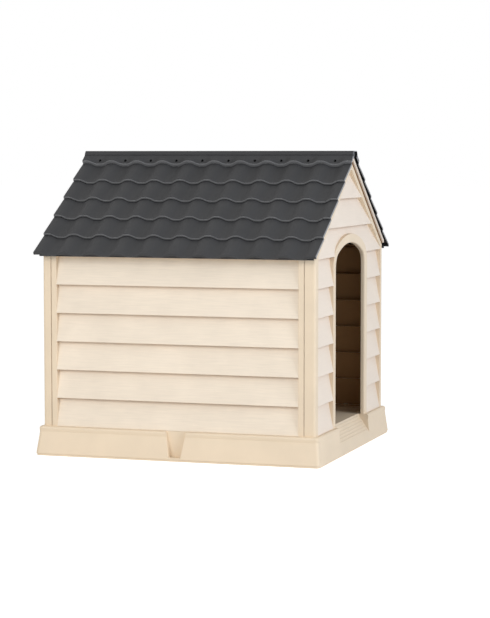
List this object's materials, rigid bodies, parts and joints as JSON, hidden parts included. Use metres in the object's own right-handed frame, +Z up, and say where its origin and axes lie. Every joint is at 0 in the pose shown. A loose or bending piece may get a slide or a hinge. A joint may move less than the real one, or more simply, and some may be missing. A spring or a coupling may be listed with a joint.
{
  "type": "plastic dog house",
  "caption": "Large dog house with lap-board walls, an arched doorway with a short ramp, a raised base and a tiled gable roof that lifts off",
  "frame": {"origin": "middle of the ground contact of the base", "axes": "+Z up, +Y to the rear along the ridge with the doorway facing -Y, +X to the right seen from the front"},
  "size_m": [0.946, 0.962, 0.9897],
  "materials": {
    "cream_plastic": "fine moulded texture with a light wood grain",
    "charcoal_plastic": "fine moulded texture",
    "peg_plastic": "smooth moulded"
  },
  "bodies": {
    "house": {"base": "cream_plastic", "front_panel": "cream_plastic", "rear_panel": "cream_plastic", "left_panel": "cream_plastic", "right_panel": "cream_plastic", "front_left_corner_pegs": "peg_plastic", "front_right_corner_pegs": "peg_plastic", "rear_left_corner_pegs": "peg_plastic", "rear_right_corner_pegs": "peg_plastic", "front_floor_pegs": "peg_plastic", "rear_floor_pegs": "peg_plastic", "left_floor_pegs": "peg_plastic", "right_floor_pegs": "peg_plastic"},
    "roof": {"roof_left": "charcoal_plastic", "roof_right": "charcoal_plastic", "ridge_cap": "charcoal_plastic", "ridge_bolts": "charcoal_plastic", "ridge_wing_nuts": "charcoal_plastic"}
  },
  "joints": [
    {"name": "roof_lift", "type": "slide", "parent": "house", "child": "roof", "axis": [0, 0, 1], "range_m": [0, 0.35]}
  ]
}
